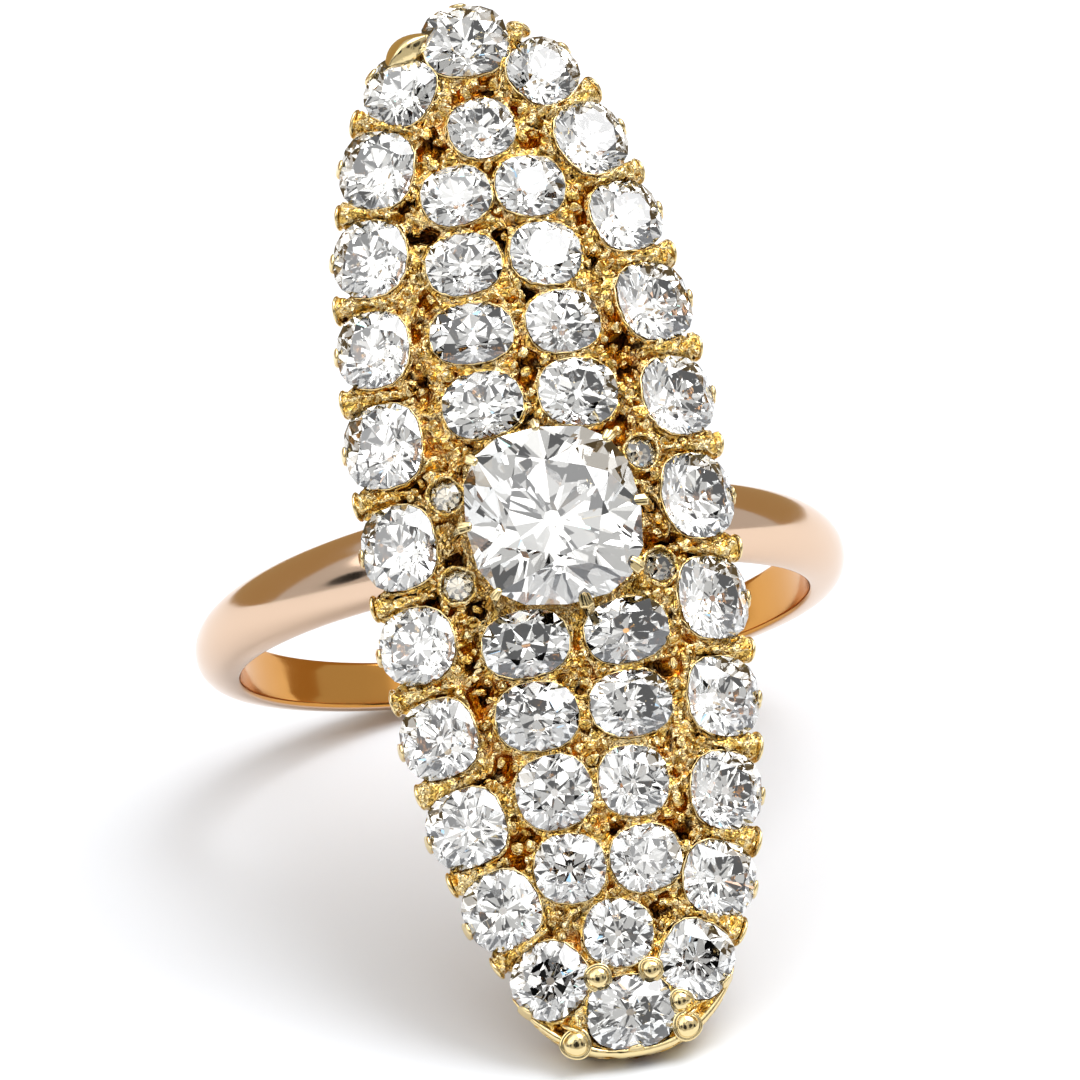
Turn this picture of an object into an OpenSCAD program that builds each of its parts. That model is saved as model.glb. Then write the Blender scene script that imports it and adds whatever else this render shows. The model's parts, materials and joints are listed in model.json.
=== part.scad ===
// Navette cluster ring. A rose-gold band carries a long domed yellow-gold head, set all over
// with old cut diamonds round one large cushion-shaped stone.
// It is drawn about its finger axis, which is Y, with the head on +Z and its lower tip on -Y.
// At the end it is leaned over, so that it rests on that tip and on the back of the band.

/* [Band] */
// Inside diameter of the finger hole
finger_d = 17.3; // [16:0.1:20]
// Width of the band at its shoulders
band_w_front = 2.5; // [2:0.1:3]
// Width of the band at its back
band_w_back = 1.4; // [1.2:0.1:2]
// Thickness of the band at its crown
band_t = 1.25; // [1.15:0.05:1.4]
// Half of the angle under the head where the band is open
band_open = 20; // [16:1:22]

/* [Head] */
// Length of the head along the finger
head_l = 32.2; // [32:0.1:33]
// Width of the head across the finger
head_w = 11.5; // [11.3:0.1:12.5]
// Fullness of the outline: 2 is an ellipse, and more is squarer
head_power = 2.33; // [2.3:0.01:2.5]
// Height of the stones' edges above the inside of the band
head_rise = 2.65; // [2.6:0.05:3]
// Radius of the head's dome along the finger
dome_r = 90; // [85:1:140]
// How far the centre stone stands above the others
centre_lift = 0.5; // [0.3:0.05:0.6]
// Distance from the outline to the middle of the rim stones
rim_inset = 1.27; // [1.25:0.01:1.35]

/* [Centre stone] */
// Length of the centre stone
centre_l = 5.4; // [5:0.1:5.6]
// Width of the centre stone
centre_w = 5.2; // [4.8:0.1:5.4]

/* [Hidden] */
RIM_COUNT = 24;
bore_r = finger_d / 2;
girdle_r = bore_r + head_rise;
solder_gap = 0.05;
plate_under_r = bore_r + band_t + solder_gap;
plate_below_girdle = 0.08;
// Share of the outline that the plate's underside and its top edge keep
under_f = 0.985;
stone_gap = 0.04;
centre_y = -0.25;

// Rim stones, clockwise from the top tip: size along the rim, and across it
ALONG = 0;
ACROSS = 1;
RIM = [
    [2.60, 2.30], [2.15, 2.15], [2.35, 2.25], [2.20, 2.30], [2.45, 2.40], [2.45, 2.35],
    [2.60, 2.40], [2.50, 2.30], [2.40, 2.35], [2.35, 2.35], [2.25, 2.30], [2.25, 2.20],
    [2.65, 2.15], [2.20, 2.30], [2.30, 2.30], [2.30, 2.40], [2.35, 2.35], [2.30, 2.35],
    [2.55, 2.30], [2.55, 2.40], [2.35, 2.25], [2.40, 2.30], [2.45, 2.25], [2.20, 2.05]];
rim_gap_tip = 0.14;
rim_gap_middle = 0.50;

// Rows of inner stones, outwards from the centre stone: length of the row along the finger,
// width of its left and right stone, gap between the two, place of that gap, and their turns
ROW_L = 0;
LEFT_W = 1;
RIGHT_W = 2;
MID_GAP = 3;
MID_X = 4;
LEFT_TURN = 5;
RIGHT_TURN = 6;
UPPER = [
    [2.10, 2.40, 2.40, 0.45, 0.00, 4, -3],
    [1.95, 2.50, 2.25, 0.36, 0.05, -3, 6],
    [2.00, 2.25, 2.15, 0.26, 0.00, 5, -8],
    [1.95, 2.10, 2.10, 0.12, 0.00, 8, -6]];
LOWER = [
    [2.00, 2.60, 2.60, 0.40, 0.15, 2, 10],
    [2.05, 2.45, 2.50, 0.32, 0.02, -4, 3],
    [2.20, 2.25, 2.10, 0.18, 0.00, 8, -5],
    [2.05, 2.10, 2.15, 0.12, 0.00, -6, 10]];
// Length and width of the single stone that ends each pair of columns
UPPER_END = [1.90, 2.00];
LOWER_END = [2.00, 2.05];
// How far the first row nests into the round corners of the centre stone, and the gap of the rows
NEST = 0;
GAP = 1;
UPPER_FIT = [0.18, 0.18];
LOWER_FIT = [0.30, 0.14];
end_nest = 0.12;

// Tiny stones at the corners of the centre stone: place across and along
SMALL = [[-2.92, 0.95], [2.96, 1.45], [-3.00, -1.75], [2.96, -2.00]];
small_d = 0.95;

// Polished beads round the lowest stone: place from its middle, across and along
TIP_BEADS = [[-1.68, -0.58], [1.60, -0.56], [-0.74, 1.16], [0.80, 1.16], [1.60, 0.14]];
tip_bead_r = 0.33;
tip_bead_lift = 0.3;

// Grains: radius, height of their middle over the stones' edges, and distance from their stone
grain_r = 0.22;
grain_lift = 0.06;
grain_away = 0.2;

// Light wear that lets the ring stand: depth of the flat worn on the tip and on the band
wear = 0.15;

function two_digits(n) = n < 10 ? str("0", n) : str(n);
STONE_NAMES = concat(
    ["centre_stone"],
    [for (i = [1:RIM_COUNT]) str("rim_stone_", two_digits(i))],
    [for (i = [1:9]) str("upper_stone_", i)],
    [for (i = [1:9]) str("lower_stone_", i)],
    [for (i = [1:4]) str("small_stone_", i)]);

// The head's surface: a barrel round the finger axis
function dome(y) = girdle_r - y * y / (2 * dome_r);
function on_dome(x, y, lift = 0) =
    let (r = dome(y) + lift)
    [x, y, sqrt(r * r - x * x)];
function unit(v) = v / norm(v);
function normal_at(x, y) =
    let (p = on_dome(x, y), c = unit([p.x, 0, p.z]), t = y / dome_r)
    unit([c.x, t, c.z]);

// A rounded outline with half sizes a across and b along, clockwise from its top
function fold(v, power) = sign(v) * pow(abs(v), 2 / power);
function outline(t, a, b, power) = [a * fold(sin(t), power), b * fold(cos(t), power)];

// The path of the rim stones' middles, and the length along it
path_a = head_w / 2 - rim_inset;
path_b = head_l / 2 - rim_inset;
PATH_STEPS = 240;
PATH = [for (k = [0:PATH_STEPS]) outline(360 * k / PATH_STEPS, path_a, path_b, head_power)];
STEPS = [for (k = [0:PATH_STEPS]) k == PATH_STEPS ? 0
    : norm(on_dome(PATH[k + 1].x, PATH[k + 1].y) - on_dome(PATH[k].x, PATH[k].y))];
RUN = [for (k = 0, s = 0; k <= PATH_STEPS; s = s + STEPS[k], k = k + 1) s];
X_BY_RUN = [for (k = [0:PATH_STEPS]) [RUN[k], PATH[k].x]];
Y_BY_RUN = [for (k = [0:PATH_STEPS]) [RUN[k], PATH[k].y]];
path_l = RUN[PATH_STEPS];
function rim_point(s) = let (q = s - path_l * floor(s / path_l)) [lookup(q, X_BY_RUN), lookup(q, Y_BY_RUN)];

// Rim stones stand shoulder to shoulder, with gaps that widen towards the middle of each side,
// and the whole row is stretched a little so that it closes
function rim_gap(i) = rim_gap_tip + (rim_gap_middle - rim_gap_tip) * pow(sin(15 * (i + 0.5)), 2);
function next_rim(i) = (RIM[i][ALONG] + RIM[(i + 1) % RIM_COUNT][ALONG]) / 2 + rim_gap(i);
RIM_RUN = [for (i = 0, s = 0; i <= RIM_COUNT; s = s + next_rim(i % RIM_COUNT), i = i + 1) s];
rim_stretch = path_l / RIM_RUN[RIM_COUNT];
function rim_at(i) = rim_point(RIM_RUN[i % RIM_COUNT] * rim_stretch);
function rim_tangent(s) = unit(let (a = rim_point(s - 0.2), b = rim_point(s + 0.2))
    on_dome(b.x, b.y) - on_dome(a.x, a.y));

// Rows run outwards from the centre stone, end to end
function sum(v, i = 0) = i == len(v) ? 0 : v[i] + sum(v, i + 1);
function row_y(rows, fit, k) = centre_l / 2 - fit[NEST] + (k + 1) * fit[GAP]
    + rows[k][ROW_L] / 2 + sum([for (j = [0:1:k - 1]) rows[j][ROW_L]]);
function end_y(rows, fit, end) = row_y(rows, fit, 3) + (rows[3][ROW_L] + end[0]) / 2 + fit[GAP] - end_nest;

// A set stone: place, unit vectors across, along and up, half width, half length, squareness
PLACE = 0;
U = 1;
V = 2;
UP = 3;
HALF_W = 4;
HALF_L = 5;
POWER = 6;
function placed(x, y, w, l, power, along, lift = 0) =
    let (n = normal_at(x, y), v = unit(along - n * (along * n)), u = cross(v, n))
    [on_dome(x, y, lift), u, v, n, w / 2, l / 2, power];
function turned(a) = [-sin(a), cos(a), 0];
function rim_stone(i) =
    let (p = rim_at(i), s = RIM_RUN[i] * rim_stretch)
    placed(p.x, p.y, RIM[i][ACROSS], RIM[i][ALONG], 2.25 + 0.35 * vary(i, 1), rim_tangent(s));
function row_stone(rows, fit, k, side, way) =
    let (r = rows[k], w = side < 0 ? r[LEFT_W] : r[RIGHT_W])
    placed(r[MID_X] + side * (r[MID_GAP] + w) / 2, way * row_y(rows, fit, k) + centre_y, w,
        r[ROW_L] * (0.98 + 0.02 * side * way), 2.35,
        turned(side < 0 ? r[LEFT_TURN] : r[RIGHT_TURN]));
function columns(rows, fit, end, way) = concat(
    [for (k = [0:3]) for (side = [-1, 1]) row_stone(rows, fit, k, side, way)],
    [placed(0, way * end_y(rows, fit, end) + centre_y, end[1], end[0], 2.3, turned(way * 12))]);
STONES = concat(
    [placed(0, centre_y, centre_w, centre_l, 2.6, turned(0), centre_lift)],
    [for (i = [0:RIM_COUNT - 1]) rim_stone(i)],
    columns(UPPER, UPPER_FIT, UPPER_END, 1),
    columns(LOWER, LOWER_FIT, LOWER_END, -1),
    [for (p = SMALL) placed(p.x, p.y, small_d, small_d, 2, turned(0), 0.05)]);
FIRST_SMALL = len(STONES) - len(SMALL);
LOWEST = 1 + RIM_COUNT / 2;

// A number from 0 to 1 that differs from stone to stone, as hand cutting does
function vary(i, k) = abs(sin(47 * i + 101 * k));

// Free room from point p to the nearest stone's edge, leaving out stone number skip
function edge_room(p, s) =
    let (d = p - s[PLACE], u = d * s[U], v = d * s[V],
         f = pow(pow(abs(u) / s[HALF_W], s[POWER]) + pow(abs(v) / s[HALF_L], s[POWER]), 1 / s[POWER]))
    norm([u, v]) * (1 - 1 / max(f, 0.01));
function room(p, skip = -1) = min([for (i = [0:len(STONES) - 1]) if (i != skip) edge_room(p, STONES[i])]);

// The rest pose: the angle at which the floor touches the tip's lower edge and the band's back
tip_y = under_f * head_l / 2;
tip_z = plate_under_r - tip_y * tip_y / (2 * dome_r);
function tip_depth(a) = sin(a) * tip_y - cos(a) * tip_z;
function band_depth(a) = cos(a) * bore_r + norm([sin(a) * band_w_back / 2, cos(a) * band_t]);
function rest_angle(low, high, n) =
    let (a = (low + high) / 2)
    n == 0 ? a : tip_depth(a) > band_depth(a) ? rest_angle(low, a, n - 1) : rest_angle(a, high, n - 1);
lean = rest_angle(20, 80, 30);
floor_depth = band_depth(lean) - wear;
rest_back = sin(lean) * bore_r + norm([cos(lean) * band_w_back / 2, sin(lean) * band_t]);
claw_rise = 0.2;
rest_front = cos(lean) * head_l / 2 + sin(lean) * (dome(head_l / 2) + claw_rise);
rest_shift = (rest_front - rest_back) / 2;

module at_rest() {
    translate([0, rest_shift, floor_depth]) rotate([lean, 0, 0]) children();
}

// Everything below the floor that the worn flats leave, drawn in the ring's own frame
module below_floor() {
    side = 2 * head_l;
    rotate([-lean, 0, 0]) translate([0, 0, -floor_depth - side / 2]) cube(side, center = true);
}

// A closed skin through rings of points, all with the same number of points
module skin(rings) {
    n = len(rings[0]);
    last = len(rings) - 1;
    polyhedron(
        points = [for (r = rings) for (p = r) p],
        faces = concat(
            [[for (j = [0:n - 1]) j]],
            [for (k = [0:last - 1]) for (j = [0:n - 1]) for (h = [0, 1])
                let (j2 = (j + 1) % n, a = k * n, b = (k + 1) * n)
                h == 0 ? [a + j, b + j, b + j2] : [a + j, b + j2, a + j2]],
            [[for (j = [n - 1:-1:0]) last * n + j]]));
}

function frame_of(s) = [
    [s[U].x, s[V].x, s[UP].x, s[PLACE].x],
    [s[U].y, s[V].y, s[UP].y, s[PLACE].y],
    [s[U].z, s[V].z, s[UP].z, s[PLACE].z],
    [0, 0, 0, 1]];

// The band: a flat liner with the true bore, and a half-round crown that narrows with it
BAND_SECTIONS = 44;
BAND_ROUND = 6;
liner_t = 0.3;
crown_start = 0.15;
outer_r = bore_r + band_t;
// How far the liner's sides stand in from the crown's edges
liner_ledge = 0.12;
// The seats start at the opening, and the liner and the crown start a little further on inside them
liner_late = 0.5;
crown_late = 1;
function band_w(a) = band_w_back + (band_w_front - band_w_back) * (0.5 + 0.5 * cos(a));
function band_section(a) =
    let (h = band_w(a) / 2)
    [for (k = [0:BAND_ROUND])
        let (b = 90 - 180 * k / BAND_ROUND,
             r = bore_r + crown_start + (band_t - crown_start) * pow(cos(b), 0.9))
        [r * sin(a), h * sin(b), r * cos(a)]];

// What lies more than a half angle away from the top, about the finger axis
module outside(half_angle) {
    far = 2 * outer_r;
    rotate([90, 0, 0]) linear_extrude(2 * band_w_front, center = true) polygon([
        [0, 0], far * [sin(half_angle), cos(half_angle)], [far, -far],
        [-far, -far], far * [-sin(half_angle), cos(half_angle)]]);
}

module liner() {
    front = band_w_front / 2 - liner_ledge;
    back = band_w_back / 2 - liner_ledge;
    intersection() {
        rotate([90, 0, 0]) difference() {
            cylinder(r = bore_r + liner_t, h = band_w_front + 1, center = true, $fn = 120);
            cylinder(r = bore_r, h = band_w_front + 2, center = true, $fn = 120);
        }
        rotate([90, 0, 90]) linear_extrude(3 * outer_r, center = true)
            polygon([[-front, outer_r], [front, outer_r], [back, -outer_r], [-back, -outer_r]]);
        outside(band_open + liner_late);
    }
}

// Flat-topped ends of the band, where it is soldered under the head
seat_angle = 12;
seat_w = 2;
seat_bottom_r = bore_r + 0.1;
seat_top_r = outer_r - 0.06;
module shoulder_seats() {
    for (start = [90 - band_open - seat_angle, 90 + band_open])
        rotate([90, 0, 0]) rotate([0, 0, start])
            rotate_extrude(angle = seat_angle, $fn = 120)
                translate([seat_bottom_r, -seat_w / 2]) square([seat_top_r - seat_bottom_r, seat_w]);
}

module shank() {
    color("#d9a184") at_rest() difference() {
        union() {
            start = band_open + crown_late;
            skin([for (k = [0:BAND_SECTIONS]) band_section(start + (360 - 2 * start) * k / BAND_SECTIONS)]);
            liner();
            shoulder_seats();
        }
        below_floor();
    }
}

// One ring of the head's plate: fraction f of the outline, on a barrel of a given radius at its middle
PLATE_POINTS = 40;
INNER_RINGS = [0.2, 0.6, 0.8];
edge_bevel = 0.25;
function plate_ring(f, r_at_middle) =
    [for (k = [PLATE_POINTS - 1:-1:0])
        let (q = outline(360 * k / PLATE_POINTS, head_w / 2, head_l / 2, head_power) * f,
             angle = asin(q.x / girdle_r), r = r_at_middle - q.y * q.y / (2 * dome_r))
        [r * sin(angle), q.y, r * cos(angle)]];

module plate() {
    top_r = girdle_r - plate_below_girdle;
    skin([
        for (f = INNER_RINGS) plate_ring(f, plate_under_r),
        plate_ring(under_f, plate_under_r),
        plate_ring(1, top_r - edge_bevel),
        plate_ring(under_f, top_r),
        for (f = [INNER_RINGS[1], INNER_RINGS[0]]) plate_ring(f, top_r)]);
}

// The seat of a stone: a cone under it that opens right through the plate. Its size is a share of the
// stone's own, with a gap, and it runs on above the stone's edge.
function stone_depth(s) = 0.86 * min(s[HALF_W], s[HALF_L]);
SEAT_SIDES = 8;
seat_f = 1.06;
seat_under_f = 0.38;
seat_depth = girdle_r - plate_under_r + 0.15;
seat_top = 0.6;
module seat(s) {
    function ring(f, gap, z) = [for (j = [0:SEAT_SIDES - 1])
        let (q = outline(-360 * (j + 0.5) / SEAT_SIDES, s[HALF_W] * f + gap, s[HALF_L] * f + gap, s[POWER]))
        [q.x, q.y, z]];
    lift = max(0, norm([s[PLACE].x, s[PLACE].z]) - dome(s[PLACE].y));
    multmatrix(frame_of(s)) skin([
        ring(seat_under_f, 0, -seat_depth - lift),
        ring(seat_f, stone_gap, 0),
        ring(seat_f, stone_gap, seat_top)]);
}

module ball(p, r, sides = 6) {
    translate(p) sphere(r = r, $fn = sides);
}

// Claws between rim stones: a bar that rises outwards to a rounded nose. Each end has a distance out
// from the path of the stones' middles, a height over it, and a radius.
OUT = 0;
HEIGHT = 1;
RADIUS = 2;
GAP_NOSE = [1.16, -0.05, 0.27];
GAP_FOOT = [0.85, -0.85, 0.28];
module gap_claw(i) {
    s = (RIM_RUN[i] + RIM_RUN[i + 1]) / 2 * rim_stretch;
    p = rim_point(s);
    n = normal_at(p.x, p.y);
    out = cross(n, rim_tangent(s));
    m = on_dome(p.x, p.y);
    nose = m + out * GAP_NOSE[OUT] + n * GAP_NOSE[HEIGHT];
    hull() {
        ball(nose, min(GAP_NOSE[RADIUS], room(nose) - stone_gap));
        ball(m + out * GAP_FOOT[OUT] + n * GAP_FOOT[HEIGHT], GAP_FOOT[RADIUS], 4);
    }
}

// Claws at the outer edge of each rim stone, with the same measures from the stone's edge
EDGE_NOSE = [0.18, 0.06, 0.12];
EDGE_FOOT = [-0.16, -0.9, 0.18];
module edge_claw(i) {
    s = STONES[1 + i];
    edge = s[PLACE] - s[U] * s[HALF_W];
    hull() {
        ball(edge - s[U] * EDGE_NOSE[OUT] + s[UP] * EDGE_NOSE[HEIGHT], EDGE_NOSE[RADIUS], 5);
        ball(edge - s[U] * EDGE_FOOT[OUT] + s[UP] * EDGE_FOOT[HEIGHT], EDGE_FOOT[RADIUS], 4);
    }
}

// Claws of the centre stone, at eight points round it. A foot's height is over the head's surface.
CENTRE_NOSE = [0.18, 0.12, 0.15];
CENTRE_FOOT = [0.12, -0.2, 0.16];
module centre_claw(a) {
    s = STONES[0];
    q = outline(a, s[HALF_W], s[HALF_L], s[POWER]);
    d = unit(s[U] * q.x + s[V] * q.y);
    edge = s[PLACE] + s[U] * q.x + s[V] * q.y;
    foot = edge + d * CENTRE_FOOT[OUT];
    hull() {
        ball(edge + d * CENTRE_NOSE[OUT] + s[UP] * CENTRE_NOSE[HEIGHT], CENTRE_NOSE[RADIUS]);
        ball(on_dome(foot.x, foot.y, CENTRE_FOOT[HEIGHT]), CENTRE_FOOT[RADIUS]);
    }
}

// Raised grains at the corners of the stones, wherever the web of metal is wide enough
function grain_spot(i, a) =
    let (s = STONES[i], q = outline(a, s[HALF_W], s[HALF_L], s[POWER]),
         d = s[U] * q.x + s[V] * q.y, g = s[PLACE] + d + unit(d) * grain_away)
    on_dome(g.x, g.y, grain_lift);

// A grain is cut from the plate, so it is a small blunt peg and not a ball
grain_root = 0.3;
module grain(p, r) {
    n = normal_at(p.x, p.y);
    u = unit(cross([0, 1, 0], n));
    v = cross(n, u);
    multmatrix([for (k = [0:2]) [u[k], v[k], n[k], p[k]]]) translate([0, 0, -grain_root])
        cylinder(r1 = 1.1 * r, r2 = 0.6 * r, h = grain_root + 0.8 * r, $fn = 4);
}

// A grain fills the room that it has, and one that an earlier stone's grain stands near is left out
grain_fill = 0.85;
grain_least = 0.13;
grain_apart = 0.3;
module grains() {
    for (i = [1:FIRST_SMALL - 1]) for (corner = [0:3]) {
        p = grain_spot(i, 45 + 90 * corner + 8 * (vary(i, corner) - 0.5));
        free = room(p);
        inside = pow(abs(p.x) / path_a, 2) + pow(abs(p.y) / path_b, 2) < 1;
        near = min([for (j = [1:FIRST_SMALL - 1]) j < i ? edge_room(p, STONES[j]) : grain_apart]);
        if (inside && near >= grain_apart && free > grain_least) grain(p, min(grain_r, grain_fill * free));
    }
}

module tip_beads() {
    s = STONES[LOWEST];
    for (q = TIP_BEADS) {
        x = s[PLACE].x + q.x;
        y = s[PLACE].y + q.y;
        free = room(on_dome(x, y));
        ball(on_dome(x, y, tip_bead_lift), min(tip_bead_r, norm([free, tip_bead_lift]) - stone_gap), 8);
        grain(on_dome(x, y, grain_lift), min(grain_r, grain_fill * free));
    }
}

module setting() {
    color("#d8b35c") at_rest() difference() {
        union() {
            difference() {
                plate();
                for (i = [0:len(STONES) - 1]) seat(STONES[i]);
            }
            for (i = [0:RIM_COUNT - 1]) gap_claw(i);
            for (i = [0:RIM_COUNT - 1]) edge_claw(i);
            for (a = [0:45:315]) centre_claw(a);
            grains();
            tip_beads();
        }
        below_floor();
    }
}

// An old cut stone: table, stars, kites and halves above the edge, halves, mains and culet below
module old_cut(s, i) {
    table_z = 0.36 * min(s[HALF_W], s[HALF_L]) * (0.9 + 0.2 * vary(i, 2));
    depth = stone_depth(s);
    table_f = 0.42 + 0.14 * vary(i, 3);
    star_f = 0.66 + 0.06 * vary(i, 4);
    star_z = table_z * (1 - star_f * cos(22.5)) / (1 - table_f);
    culet_f = 0.07 + 0.04 * vary(i, 5);
    half_f = 0.55 + 0.08 * vary(i, 6);
    half_z = -depth * (1 - half_f * cos(22.5)) / (1 - culet_f);
    function ring(n, f, z, start = 0) = [for (j = [0:n - 1])
        let (q = outline(-(start + 360 * j / n), s[HALF_W], s[HALF_L], s[POWER]) * f) [q.x, q.y, z]];
    // Points 0-7 table, 8-15 stars, 16-31 edge, 32-39 lower halves, 40-47 culet
    multmatrix(frame_of(s)) polyhedron(
        points = concat(ring(8, table_f, table_z), ring(8, star_f, star_z, 22.5), ring(16, 1, 0),
            ring(8, half_f, half_z, 22.5), ring(8, culet_f, -depth)),
        faces = concat(
            [[for (k = [7:-1:0]) k]],
            [for (k = [0:7]) for (f = crown_faces(k, (k + 1) % 8)) f],
            [for (k = [0:7]) for (f = pavilion_faces(k, (k + 1) % 8)) f],
            [[for (k = [0:7]) 40 + k]]));
}
function crown_faces(k, n) = [
    [k, n, 8 + k],
    [k, 8 + k, 16 + 2 * k], [n, 16 + 2 * n, 8 + k],
    [8 + k, 17 + 2 * k, 16 + 2 * k], [8 + k, 16 + 2 * n, 17 + 2 * k]];
function pavilion_faces(k, n) = [
    [32 + k, 16 + 2 * k, 17 + 2 * k], [32 + k, 17 + 2 * k, 16 + 2 * n],
    [40 + k, 16 + 2 * k, 32 + k], [40 + n, 32 + k, 16 + 2 * n],
    [40 + k, 32 + k, 40 + n]];

// A single cut stone: table, eight facets above the edge and eight below
module single_cut(s) {
    function ring(f, z) = [for (k = [0:7]) [s[HALF_W] * f * cos(45 * k), s[HALF_L] * f * sin(45 * k), z]];
    multmatrix(frame_of(s)) skin([ring(0.15, -stone_depth(s)), ring(1, 0), ring(0.5, 0.2)]);
}

module set_stone(i) {
    color("#eef2f4") at_rest() {
        if (i < FIRST_SMALL) old_cut(STONES[i], i);
        else single_cut(STONES[i]);
    }
}

shank();
setting();
for (i = [0:len(STONES) - 1]) set_stone(i);
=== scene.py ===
"""Navette cluster ring: its looks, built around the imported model.

Pieces are shaped in millimetres in the ring's own frame: Y runs along the finger, and +Z goes up from
the finger's axis through the middle of the head. TO_WORLD then puts them where the ring rests."""

import json
import math

import bmesh
import bpy
import numpy as np
from mathutils import Matrix, Vector


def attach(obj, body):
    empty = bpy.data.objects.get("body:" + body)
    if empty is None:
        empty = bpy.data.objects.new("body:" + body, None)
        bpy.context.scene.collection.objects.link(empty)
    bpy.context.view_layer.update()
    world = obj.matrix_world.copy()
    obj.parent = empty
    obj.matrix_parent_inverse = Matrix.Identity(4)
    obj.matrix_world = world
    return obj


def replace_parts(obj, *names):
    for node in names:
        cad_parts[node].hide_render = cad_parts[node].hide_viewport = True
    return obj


bl_info = {
    "name": "Navette Cluster Ring",
    "version": (1, 0, 0),
    "blender": (4, 5, 0),
    "location": "3D View > Sidebar > Ring",
    "description": "Dresses the packed model of a navette cluster ring",
    "category": "Object",
}

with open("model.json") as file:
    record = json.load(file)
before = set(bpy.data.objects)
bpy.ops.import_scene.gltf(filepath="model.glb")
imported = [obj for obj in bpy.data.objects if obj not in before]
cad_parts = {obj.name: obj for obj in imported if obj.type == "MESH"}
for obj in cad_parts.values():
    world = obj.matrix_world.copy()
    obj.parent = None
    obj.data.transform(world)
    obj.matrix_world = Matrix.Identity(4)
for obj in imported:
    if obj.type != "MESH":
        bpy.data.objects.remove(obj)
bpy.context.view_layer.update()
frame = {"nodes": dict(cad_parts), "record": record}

# The ring's own frame, from the finger hole that the record states
MM = 0.001
HOLE = next(m for m in frame["record"]["mounts"] if m["name"] == "finger_hole")
ACROSS = Vector((1, 0, 0))
FINGER = Vector(HOLE["axis"]).normalized()
TO_WORLD = (
    Matrix.Translation(HOLE["pos_m"])
    @ Matrix((ACROSS, FINGER, ACROSS.cross(FINGER))).transposed().to_4x4()
    @ Matrix.Scale(MM, 4)
)
TO_RING = TO_WORLD.inverted()

# Measures that the ring was designed with, in millimetres
BORE_R = HOLE["dims"]["r_mm"]
BAND_CROWN = 1.23  # height of the band over its inside
CROWN_START = 0.15  # the same at the band's edges
GIRDLE_R = 11.3  # from the finger's axis to the edges of the stones, halfway along the head
DOME_RADIUS = 90.0  # of the head's curve along the finger
PLATE_UNDER_R = 9.95
HEAD_HALF_W = 5.75
HEAD_HALF_L = 16.1
HEAD_TOP_L = 15.3  # the plate stops here at the upper end, under the topmost stones
HEAD_POWER = 2.33  # of the superellipse that is the head's outline


# ---------- shapes in the ring's frame ----------

def unit(v):
    return v / np.linalg.norm(v, axis=-1, keepdims=True)


def dome_drop(y):
    """How much nearer the finger's axis the head is at its ends than in its middle."""
    return np.square(y) / (2 * DOME_RADIUS)


def on_dome(x, y, lift=0.0):
    """Points over the head's barrel-shaped surface, which passes through the edges of the stones."""
    r = GIRDLE_R - dome_drop(y) + lift
    return np.stack([x, y, np.sqrt(np.square(r) - np.square(x))], axis=-1)


def dome_normal(p):
    c = np.hypot(p[..., 0], p[..., 2])
    return unit(np.stack([p[..., 0] / c, p[..., 1] / DOME_RADIUS, p[..., 2] / c], axis=-1))


def moved(p, *steps):
    """Points moved by steps, each of which is a direction and how far."""
    for way, far in steps:
        p = p + way * np.asarray(far)[..., None]
    return p


CORNERS = 8  # of a stone's table, and of its culet


class Stone:
    """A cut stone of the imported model: its middle, its axes and the outline of its edge."""

    def __init__(self, name):
        data = frame["nodes"][name].data
        co = np.array([TO_RING @ v.co for v in data.vertices])
        co = np.unique(co.round(4), axis=0)
        n = dome_normal(co.mean(0))
        for _ in range(2):
            co = co[np.argsort(-(co @ n))]
            n = unit(co[:CORNERS].mean(0) - co[-CORNERS:].mean(0))
        # from the table down, an old cut has 8, 8, 16, 8 and 8 corners, and a single cut 8, 8 and 8
        edge = co[16:32] if len(co) == 48 else co[8:16]
        self.name = name
        self.up = n
        self.place = edge.mean(0)
        self.along = unit(np.array([0.0, 1.0, 0.0]) - n * n[1])
        self.across = np.cross(self.along, n)
        flat = (edge - self.place) @ np.stack([self.across, self.along], axis=1)
        flat = flat[np.argsort(np.arctan2(flat[:, 1], flat[:, 0]))]
        side = np.roll(flat, -1, axis=0) - flat
        self.normals = unit(np.stack([side[:, 1], -side[:, 0]], axis=1))
        self.offsets = (self.normals * flat).sum(1)
        self.size = np.linalg.norm(flat, axis=1).mean()

    def flat(self, p):
        return (p - self.place) @ np.stack([self.across, self.along], axis=1)

    def outside(self, p):
        """How far points lie outside the stone's edge, seen along its axis. Less than 0 is inside."""
        return (self.flat(p) @ self.normals.T - self.offsets).max(-1)

    def angle(self, way):
        """The angle round the stone of a direction."""
        x, y = self.flat(self.place + way)
        return math.atan2(y, x)

    def way(self, angle):
        """The unit vector in the plane of the stone's edge at an angle."""
        return np.cos(angle)[..., None] * self.across + np.sin(angle)[..., None] * self.along

    def edge(self, angle, out=0.0, up=0.0):
        """The point of the stone's edge at an angle, moved outwards and upwards."""
        d = np.stack([np.cos(angle), np.sin(angle)], axis=-1)
        reach = self.offsets / np.maximum(d @ self.normals.T, 1e-6)
        return moved(self.place, (self.way(angle), reach.min(-1) + out), (self.up, up))


CENTRE = Stone("centre_stone")
RIM = [Stone(f"rim_stone_{i:02d}") for i in range(1, 25)]
INNER = [Stone(f"{row}_stone_{i}") for row in ("upper", "lower") for i in range(1, 10)]
SMALL = [Stone(f"small_stone_{i}") for i in range(1, 5)]
STONES = [CENTRE, *RIM, *INNER, *SMALL]
FAR = 9.0  # more than any distance that is compared


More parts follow.
